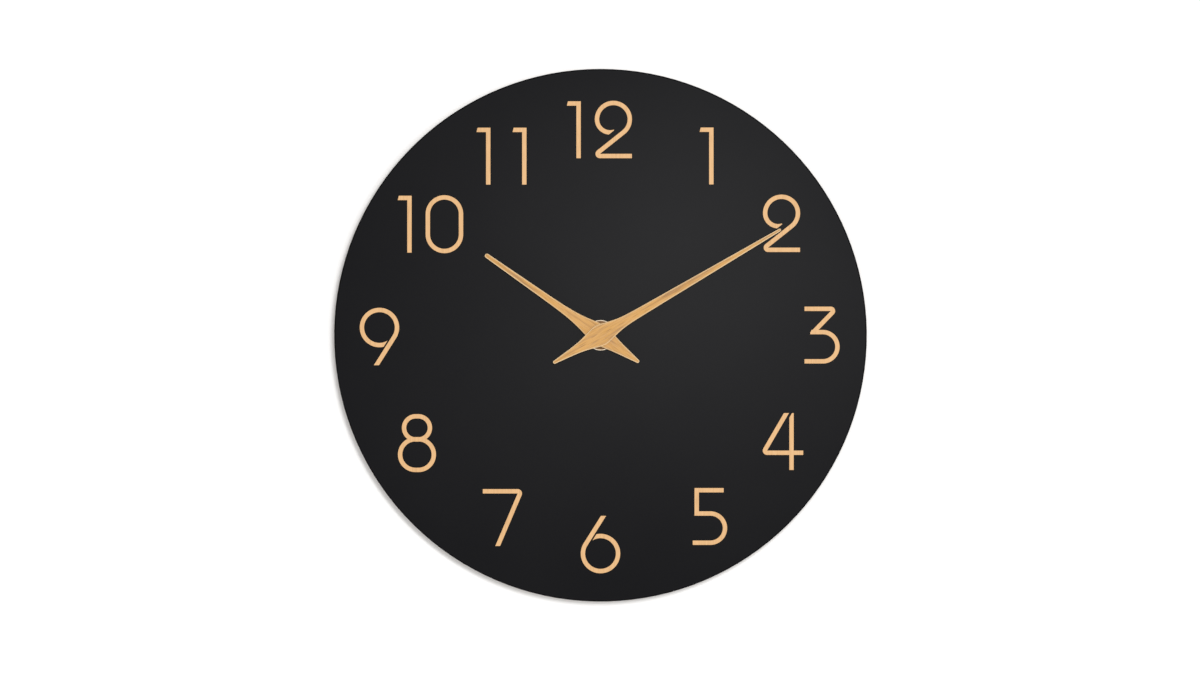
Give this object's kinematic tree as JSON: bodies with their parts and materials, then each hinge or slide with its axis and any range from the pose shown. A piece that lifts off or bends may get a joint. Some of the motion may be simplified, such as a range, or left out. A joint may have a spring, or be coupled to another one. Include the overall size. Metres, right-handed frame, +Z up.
{
  "type": "wall clock",
  "caption": "Round black wall clock with light wood numerals and two leaf-shaped wooden hands, driven by a battery quartz movement with full gear train",
  "frame": {"origin": "centre of the movement's rear cover plane, on the axis of the hands, in the plane of the wall", "axes": "+Z up, -Y out of the front of the dial, +Y into the wall, +X to the right seen from the front"},
  "size_m": [0.3, 0.0317, 0.3],
  "materials": {
    "light_wood": "satin",
    "black_board": "satin",
    "black_plastic": "matte",
    "pale_plastic": "satin",
    "bracket_steel": "satin",
    "black_rubber": "matte",
    "brass": "polished",
    "battery_sleeve": "satin",
    "contact_steel": "polished",
    "board_laminate": "satin",
    "chip_potting": "gloss",
    "copper_wire": "gloss",
    "motor_iron": "satin",
    "magnet": "satin"
  },
  "bodies": {
    "clock_body": {"dial_board": "black_board", "numeral_01": "light_wood", "numeral_02": "light_wood", "numeral_03": "light_wood", "numeral_04": "light_wood", "numeral_05": "light_wood", "numeral_06": "light_wood", "numeral_07": "light_wood", "numeral_08": "light_wood", "numeral_09": "light_wood", "numeral_10": "light_wood", "numeral_11": "light_wood", "numeral_12": "light_wood", "movement_case": "black_plastic", "rear_cover": "black_plastic", "centre_bush": "brass", "middle_plate": "pale_plastic", "hanger_bracket": "bracket_steel", "rubber_washer": "black_rubber", "dial_washer": "brass", "dial_nut": "brass", "battery": "battery_sleeve", "positive_contact": "contact_steel", "negative_contact": "contact_steel", "circuit_board": "board_laminate", "driver_chip": "chip_potting", "quartz_crystal": "contact_steel", "coil_bobbin": "pale_plastic", "coil_winding": "copper_wire", "coil_core": "motor_iron", "stator_plate": "motor_iron", "stator_screws": "contact_steel"},
    "minute_hand_body": {"minute_hand": "light_wood", "minute_hand_bush": "brass", "minute_arbor": "pale_plastic", "friction_collar": "brass"},
    "hour_hand_body": {"hour_hand": "light_wood", "hour_hand_bush": "brass", "hour_wheel": "pale_plastic"},
    "motion_wheel_body": {"motion_wheel": "pale_plastic", "setting_knob": "black_plastic"},
    "rotor_body": {"rotor_magnet": "magnet", "rotor_pinion": "pale_plastic"},
    "intermediate_wheel_body": {"intermediate_wheel": "pale_plastic"},
    "second_wheel_body": {"second_wheel": "pale_plastic"},
    "third_wheel_body": {"third_wheel": "pale_plastic"},
    "centre_wheel_body": {"centre_wheel": "pale_plastic", "friction_spring": "contact_steel"}
  },
  "joints": [
    {"name": "minute_hand_turn", "type": "hinge", "parent": "clock_body", "child": "minute_hand_body", "pos_m": [0, -0.0303, 0], "axis": [0, 1, 0], "continuous": true},
    {"name": "motion_wheel_turn", "type": "hinge", "parent": "clock_body", "child": "motion_wheel_body", "pos_m": [0.00982, -0.0125, -0.00173], "axis": [0, 1, 0], "continuous": true},
    {"name": "hour_hand_turn", "type": "hinge", "parent": "clock_body", "child": "hour_hand_body", "pos_m": [0, -0.0272, 0], "axis": [0, 1, 0], "continuous": true},
    {"name": "second_wheel_turn", "type": "hinge", "parent": "clock_body", "child": "second_wheel_body", "pos_m": [-0.00357, -0.0053, 0.00893], "axis": [0, 1, 0], "continuous": true},
    {"name": "intermediate_wheel_turn", "type": "hinge", "parent": "clock_body", "child": "intermediate_wheel_body", "pos_m": [0.0035, -0.0041, 0.00955], "axis": [0, 1, 0], "continuous": true},
    {"name": "rotor_turn", "type": "hinge", "parent": "clock_body", "child": "rotor_body", "pos_m": [0.0103, -0.0067, 0.00955], "axis": [0, 1, 0], "continuous": true},
    {"name": "third_wheel_turn", "type": "hinge", "parent": "clock_body", "child": "third_wheel_body", "pos_m": [-0.00903, -0.0076, 0.00242], "axis": [0, 1, 0], "continuous": true},
    {"name": "centre_wheel_turn", "type": "hinge", "parent": "clock_body", "child": "centre_wheel_body", "pos_m": [0, -0.0095, 0], "axis": [0, 1, 0], "continuous": true}
  ],
  "couplings": [
    {"joint": "motion_wheel_turn", "follows": "minute_hand_turn", "ratio": -0.33333},
    {"joint": "hour_hand_turn", "follows": "minute_hand_turn", "ratio": 0.083333},
    {"joint": "intermediate_wheel_turn", "follows": "second_wheel_turn", "ratio": -4},
    {"joint": "rotor_turn", "follows": "second_wheel_turn", "ratio": 30},
    {"joint": "third_wheel_turn", "follows": "second_wheel_turn", "ratio": -0.13333},
    {"joint": "centre_wheel_turn", "follows": "second_wheel_turn", "ratio": 0.016667}
  ]
}
